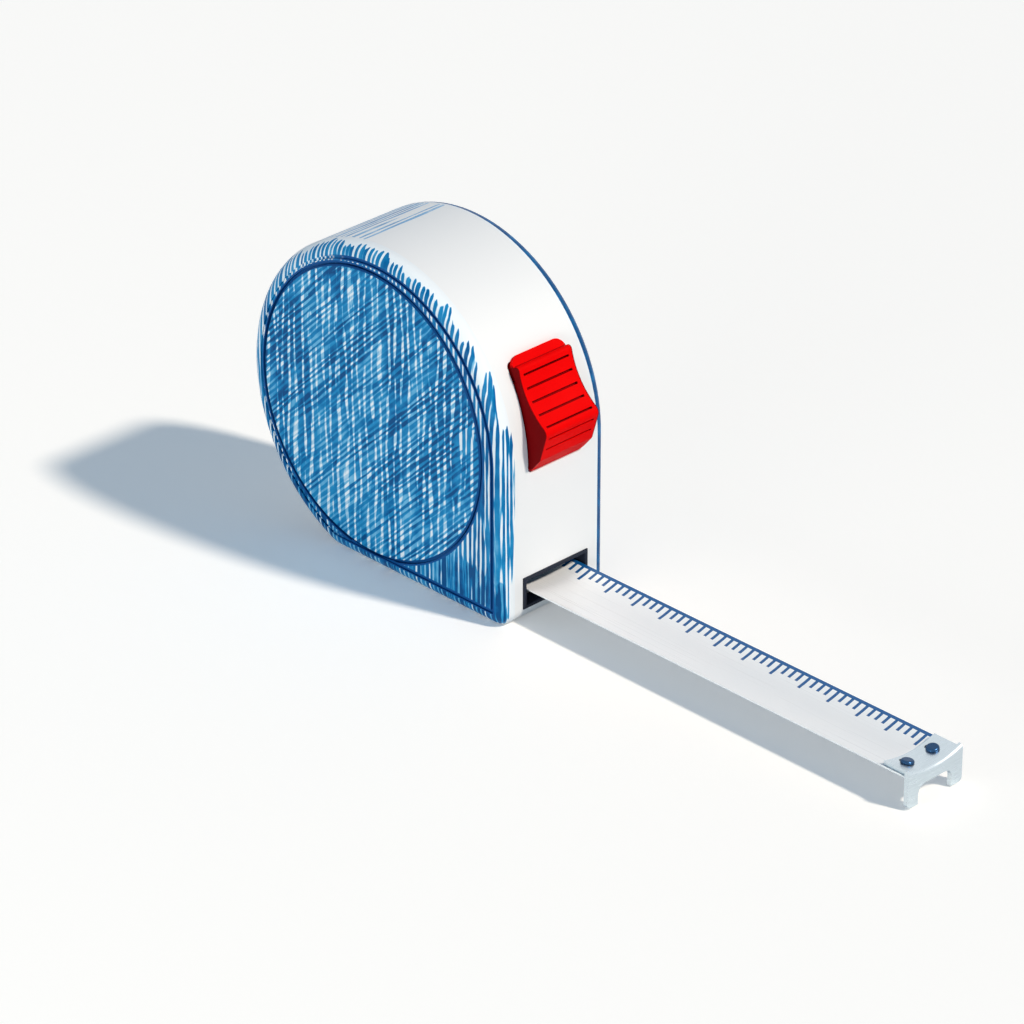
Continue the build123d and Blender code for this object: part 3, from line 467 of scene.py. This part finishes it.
# Lacquered steel tape: white enamel with printed blue marks from the far edge, under a clear lacquer that the
# mouth has rubbed in faint lines along its length, drawn coarser than they are so that they show
stripLow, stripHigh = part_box("blade_strip")
bladeLook = {
    "colour": "#fdfdfc", "shade": "#f7f9fa", "shadeSize": 9.0, "mark": "#0b5894", "ior": 1.5,
    "halfWidth": 6.5, "thickness": 0.2, "rise": 1.1, "underside": 4.8, "flatTo": 2.0, "curlTo": 14.0,
    "rowsInCurl": 24, "rowsBeyond": 60, "pointsAcross": 33,
    "markStep": 1.5875, "markWidth": 0.6, "markLength": 2.35, "longer": 1.1, "longEvery": 4.0,
    "edgeLine": 0.6,
    "rub": (30.0, 0.2, 0.2), "rubNoise": (0.35, 0.65), "rubDepth": 0.002, "rubStrength": 0.06,
    "gloss": (0.27, 0.37),
}
markStep = bladeLook["markStep"]
markZero = stripHigh[0] / mm  # marks count back from the hook
lacquer, tree, shader, place = startMaterial("lacquered_steel_tape", {"IOR": bladeLook["ior"]})
split = addNode(tree, "SeparateXYZ", {0: place}).outputs
steps = {"Value": split["X"], 1: markZero, 2: markZero - markStep}
count = addNode(tree, "MapRange", steps, clamp=False).outputs[0]
whole = addNode(tree, "Math", {0: count}, operation="ROUND").outputs[0]
offCentre = addNode(tree, "Math", {0: count, 1: whole}, operation="SUBTRACT").outputs[0]
apart = addNode(tree, "Math", {0: offCentre}, operation="ABSOLUTE").outputs[0]
halfMark = bladeLook["markWidth"] / 2 / markStep
nearMark = addNode(tree, "Math", {0: apart, 1: halfMark}, operation="LESS_THAN").outputs[0]
inTurn = addNode(tree, "Math", {0: whole, 1: bladeLook["longEvery"]}, operation="FLOORED_MODULO").outputs[0]
isLong = addNode(tree, "Math", {0: inTurn, 1: 0.5}, operation="LESS_THAN").outputs[0]
lengths = {0: isLong, 1: bladeLook["longer"], 2: bladeLook["markLength"]}
reach = addNode(tree, "Math", lengths, operation="MULTIPLY_ADD").outputs[0]
fromEdge = addNode(tree, "Math", {0: bladeLook["halfWidth"], 1: split["Y"]}, operation="SUBTRACT").outputs[0]
inReach = addNode(tree, "Math", {0: fromEdge, 1: reach}, operation="LESS_THAN").outputs[0]
mark = addNode(tree, "Math", {0: nearMark, 1: inReach}, operation="MULTIPLY").outputs[0]
edge = addNode(tree, "Math", {0: fromEdge, 1: bladeLook["edgeLine"]}, operation="LESS_THAN").outputs[0]
printed = addNode(tree, "Math", {0: mark, 1: edge}, operation="MAXIMUM").outputs[0]
shadeNoise = {"Vector": place, "Scale": 1 / bladeLook["shadeSize"], "Detail": 2.0}
cloud = addNode(tree, "TexNoise", shadeNoise).outputs[0]
shaded = {0: cloud, 6: linear(bladeLook["colour"]), 7: linear(bladeLook["shade"])}
enamel = addNode(tree, "Mix", shaded, data_type="RGBA").outputs[2]
marked = {0: printed, 6: enamel, 7: linear(bladeLook["mark"])}
lengthways = {0: place, 1: [1 / size for size in bladeLook["rub"]]}
stretched = addNode(tree, "VectorMath", lengthways, operation="MULTIPLY").outputs["Vector"]
rubbed = addNode(tree, "TexNoise", {"Vector": stretched, "Scale": 1.0, "Detail": 2.0}).outputs[0]
low, high = bladeLook["rubNoise"]
smooth, rough = bladeLook["gloss"]
gloss = {"Value": rubbed, 1: low, 2: high, 3: smooth, 4: rough}
bump = {"Height": rubbed, "Distance": bladeLook["rubDepth"] * mm, "Strength": bladeLook["rubStrength"]}
setInputs(tree, shader, {
    "Base Color": addNode(tree, "Mix", marked, data_type="RGBA").outputs[2],
    "Roughness": addNode(tree, "MapRange", gloss).outputs[0],
    "Normal": addNode(tree, "Bump", bump).outputs[0],
})
dress(lacquer, "blade_coil")


def tubeFaces(rows, around):  # quads round a closed profile, from each row to the next, open at both ends
    i, j = np.meshgrid(np.arange(rows - 1), np.arange(around), indexing="ij")
    k = (j + 1) % around
    corners = [i * around + j, (i + 1) * around + j, (i + 1) * around + k, i * around + k]
    return np.stack(corners, axis=-1).reshape(-1, 4)


def bladeSurface(look):
    # along x the section goes from flat to dished by a smooth step; across it is an arc whose height is
    # R - sqrt(R^2 - y^2); the profile runs over the top and back underneath, one row for each x
    inCurl = np.linspace(stripLow[0] / mm, look["curlTo"], look["rowsInCurl"], endpoint=False)
    beyond = np.linspace(look["curlTo"], stripHigh[0] / mm, look["rowsBeyond"])
    x = np.concatenate([inCurl, beyond])
    y = np.linspace(-look["halfWidth"], look["halfWidth"], look["pointsAcross"])
    step = np.clip((x - look["flatTo"]) / (look["curlTo"] - look["flatTo"]), 0, 1)
    dish = step * step * (3 - 2 * step)
    radius = look["halfWidth"] ** 2 / (2 * look["rise"]) + look["rise"] / 2
    arc = radius - np.sqrt(radius ** 2 - y ** 2)
    low = look["underside"] + dish[:, None] * arc[None, :]
    profileY = np.concatenate([y, y[::-1]])
    z = np.concatenate([low + look["thickness"], low[:, ::-1]], axis=1)
    rows, around = z.shape
    points = np.stack([np.repeat(x, around), np.tile(profileY, rows), z.ravel()], axis=1) * mm
    a = np.arange(len(y) - 1)
    cap = np.stack([a, a + 1, around - 2 - a, around - 1 - a], axis=1)
    return points, np.concatenate([tubeFaces(rows, around), cap, cap[:, ::-1] + (rows - 1) * around])


points, faces = bladeSurface(bladeLook)
bladeMesh = bpy.data.meshes.new("blade_tape")
bladeMesh.from_pydata(points.tolist(), [], faces.tolist())
bladeMesh.materials.append(lacquer)
blade = addObject("blade_tape", bladeMesh)
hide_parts("blade_strip")
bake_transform(blade)
print("blade made:", len(points), "points")

# Metals: plated, blued, oiled or brushed steel, whose gloss runs in fine lines along the longest side of its
# grain; the grain is drawn coarser than it is so that it shows
metalLooks = {
    "nickel_plated_hook": {
        "colour": "#d3e0e8", "gloss": (0.24, 0.4), "grain": (0.25, 4.0, 0.25),
        "nodes": ["end_hook"],
    },
    "zinc_plated_fasteners": {
        "colour": "#a9adb1", "gloss": (0.3, 0.45), "grain": (0.3, 0.3, 0.3),
        "nodes": ["case_screws", "belt_clip_screw"],
    },
    "blued_steel_rivets": {
        "colour": "#2f4f74", "gloss": (0.25, 0.4), "grain": (0.3, 0.3, 0.3),
        "nodes": ["hook_rivets"],
    },
    "oiled_spring_steel": {
        "colour": "#6c727a", "gloss": (0.25, 0.4), "grain": (2.0, 0.2, 2.0),
        "nodes": ["return_spring", "brake_tongue", "detent_spring"],
    },
    "brushed_clip_steel": {
        "colour": "#c4c7ca", "gloss": (0.28, 0.42), "grain": (0.22, 0.22, 6.0),
        "nodes": ["belt_clip"],
    },
}
metalFinish = {"darker": 0.82, "height": 0.004, "strength": 0.5}
for name, look in metalLooks.items():
    metal, tree, shader, place = startMaterial(name, {"Metallic": 1.0})
    lengthways = {0: place, 1: [1 / size for size in look["grain"]]}
    stretched = addNode(tree, "VectorMath", lengthways, operation="MULTIPLY").outputs["Vector"]
    lines = addNode(tree, "TexNoise", {"Vector": stretched, "Scale": 1.0, "Detail": 2.0}).outputs[0]
    colour = linear(look["colour"])
    darker = [c * metalFinish["darker"] for c in colour[:3]] + [1.0]
    lined = {0: lines, 6: colour, 7: darker}
    smooth, rough = look["gloss"]
    gloss = {"Value": lines, 1: noiseLow, 2: noiseHigh, 3: smooth, 4: rough}
    bump = {"Height": lines, "Distance": metalFinish["height"] * mm, "Strength": metalFinish["strength"]}
    setInputs(tree, shader, {
        "Base Color": addNode(tree, "Mix", lined, data_type="RGBA").outputs[2],
        "Roughness": addNode(tree, "MapRange", gloss).outputs[0],
        "Normal": addNode(tree, "Bump", bump).outputs[0],
    })
    dress(metal, *look["nodes"])

# Return spring: a flat steel ribbon from the slot in the post, round nine turns, to the slot in the drum
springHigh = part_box("return_spring")[1]
springLook = {
    "turns": 9, "first": 4.075, "last": 14.925, "thickness": 0.35, "halfWidth": springHigh[1] / mm,
    "innerEnd": 1.8, "outerEnd": springHigh[0] / mm, "bend": 0.6, "pointsPerTurn": 48, "pointsInSlot": 6,
}


def springRibbon(look):
    # the path is a radius and an angle: out along the post's slot, then a radius that grows evenly with the
    # angle, then out along the drum's slot; the ribbon is that path with half a thickness to each side
    first, last, bend, inSlot = look["first"], look["last"], look["bend"], look["pointsInSlot"]
    fullTurn = 2 * math.pi * look["turns"]
    spread = np.linspace(0, 1, look["turns"] * look["pointsPerTurn"])
    outward = np.linspace(0, 1, inSlot)
    inner = look["innerEnd"] + (first - bend - look["innerEnd"]) * outward
    outer = last + bend + (look["outerEnd"] - last - bend) * outward
    lead = bend / first  # angles that the two bends take up
    trail = bend / last
    turned = lead + (fullTurn - lead - trail) * spread
    radius = np.concatenate([inner, first + (last - first) * spread, outer])
    angle = np.concatenate([np.zeros(inSlot), turned, np.full(inSlot, fullTurn)])
    path = np.stack([radius * np.cos(angle), radius * np.sin(angle)], axis=1)
    ahead = np.gradient(path, axis=0)
    side = np.stack([-ahead[:, 1], ahead[:, 0]], axis=1) / np.linalg.norm(ahead, axis=1)[:, None]
    left = path + side * look["thickness"] / 2
    right = path - side * look["thickness"] / 2
    x = np.stack([left[:, 0], left[:, 0], right[:, 0], right[:, 0]], axis=1)
    y = np.tile(np.array([-1, 1, 1, -1]) * look["halfWidth"], (len(path), 1))
    z = np.stack([left[:, 1], left[:, 1], right[:, 1], right[:, 1]], axis=1) + reelHeight
    along = np.concatenate([np.zeros(inSlot), spread, np.ones(inSlot)])
    return np.stack([x.ravel(), y.ravel(), z.ravel()], axis=1) * mm, np.repeat(along, 4)


points, along = springRibbon(springLook)
rows = len(points) // 4
cap = np.arange(4)
faces = np.concatenate([tubeFaces(rows, 4), [cap, cap[::-1] + (rows - 1) * 4]])
straight = np.stack([along, np.zeros_like(along), np.zeros_like(along)], axis=1)
springMesh = bpy.data.meshes.new("return_spring_ribbon")
springMesh.from_pydata(straight.tolist(), [], faces.tolist())
spring = addObject("return_spring_ribbon", springMesh)
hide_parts("return_spring")
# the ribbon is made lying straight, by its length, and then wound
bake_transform(spring)
springMesh.vertices.foreach_set("co", points.ravel())
springMesh.update()
springMesh.materials.append(bpy.data.materials["oiled_spring_steel"])
print("return spring wound:", len(points), "points")

# Inside plastics: moulded nylon and acetal, dull with a fine grain, drawn coarser than it is so that it shows
plasticLooks = {
    "moulded_black_acetal": {"colours": ("#161718", "#242628"), "nodes": ["reel_drum", "reel_flange"]},
    "moulded_nylon": {"colours": ("#dcd8cc", "#cbc6b8"), "nodes": ["centre_post", "thrust_washers"]},
}
plasticFinish = {"ior": 1.5, "grain": 0.6, "gloss": (0.4, 0.6)}
for name, look in plasticLooks.items():
    plastic, tree, shader, place = startMaterial(name, {"IOR": plasticFinish["ior"]})
    grainNoise = {"Vector": place, "Scale": 1 / plasticFinish["grain"], "Detail": 2.0}
    grain = addNode(tree, "TexNoise", grainNoise).outputs[0]
    first, second = look["colours"]
    grained = {0: grain, 6: linear(first), 7: linear(second)}
    smooth, rough = plasticFinish["gloss"]
    setInputs(tree, shader, {
        "Base Color": addNode(tree, "Mix", grained, data_type="RGBA").outputs[2],
        "Roughness": addNode(tree, "MapRange", {"Value": grain, 3: smooth, 4: rough}).outputs[0],
    })
    dress(plastic, *look["nodes"])
print("metals and inside plastics dressed")
